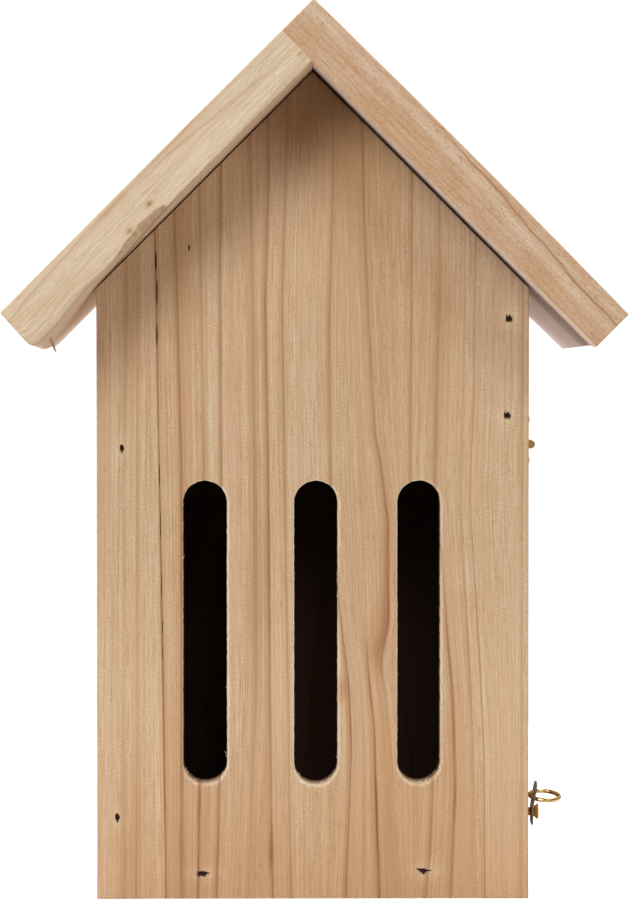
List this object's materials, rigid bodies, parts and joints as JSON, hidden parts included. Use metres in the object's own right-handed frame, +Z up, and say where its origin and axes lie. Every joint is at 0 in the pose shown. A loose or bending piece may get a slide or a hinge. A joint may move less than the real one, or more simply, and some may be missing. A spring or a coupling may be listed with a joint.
{
  "type": "butterfly house",
  "caption": "Small gable-roofed wooden butterfly house with upright entry slots in its front, a top-hinged side door closed by a turning ring latch, and a hanging hole in its back.",
  "frame": {"origin": "middle of the bounding box at ground level, under the house", "axes": "+Z up, -Y out of the slotted front, +X out of the door side"},
  "size_m": [0.1436, 0.1, 0.2089],
  "materials": {
    "softwood": "planed, unfinished",
    "brad_steel": "dull wire",
    "brass": "bright plated",
    "latch_steel": "rolled sheet"
  },
  "bodies": {
    "house": {"front_panel": "softwood", "back_panel": "softwood", "left_side": "softwood", "right_side_top": "softwood", "floor_board": "softwood", "right_roof_board": "softwood", "left_roof_board": "softwood", "front_panel_brads": "brad_steel", "back_panel_brads": "brad_steel", "right_roof_brads": "brad_steel", "left_roof_brads": "brad_steel", "ridge_brads": "brad_steel", "front_hinge_fixed_leaf": "brass", "front_hinge_pin": "brass", "rear_hinge_fixed_leaf": "brass", "rear_hinge_pin": "brass", "hinge_fixed_nails": "brass", "latch_screw": "brass"},
    "door": {"side_door": "softwood", "front_hinge_door_leaf": "brass", "rear_hinge_door_leaf": "brass", "hinge_door_nails": "brass"},
    "latch": {"latch_plate": "latch_steel"},
    "ring": {"latch_ring": "brass"}
  },
  "joints": [
    {"name": "door_hinge", "type": "hinge", "parent": "house", "child": "door", "pos_m": [0.05205, 0.0125, 0.10665], "axis": [0, -1, 0], "range_deg": [0, 140]},
    {"name": "latch_turn", "type": "hinge", "parent": "house", "child": "latch", "pos_m": [0.05075, -0.02, 0.02], "axis": [-1, 0, 0], "continuous": true},
    {"name": "ring_swing", "type": "hinge", "parent": "latch", "child": "ring", "pos_m": [0.0514, -0.02, 0.0239], "axis": [0, -0.9763, -0.2164], "range_deg": [-30, 30]}
  ]
}
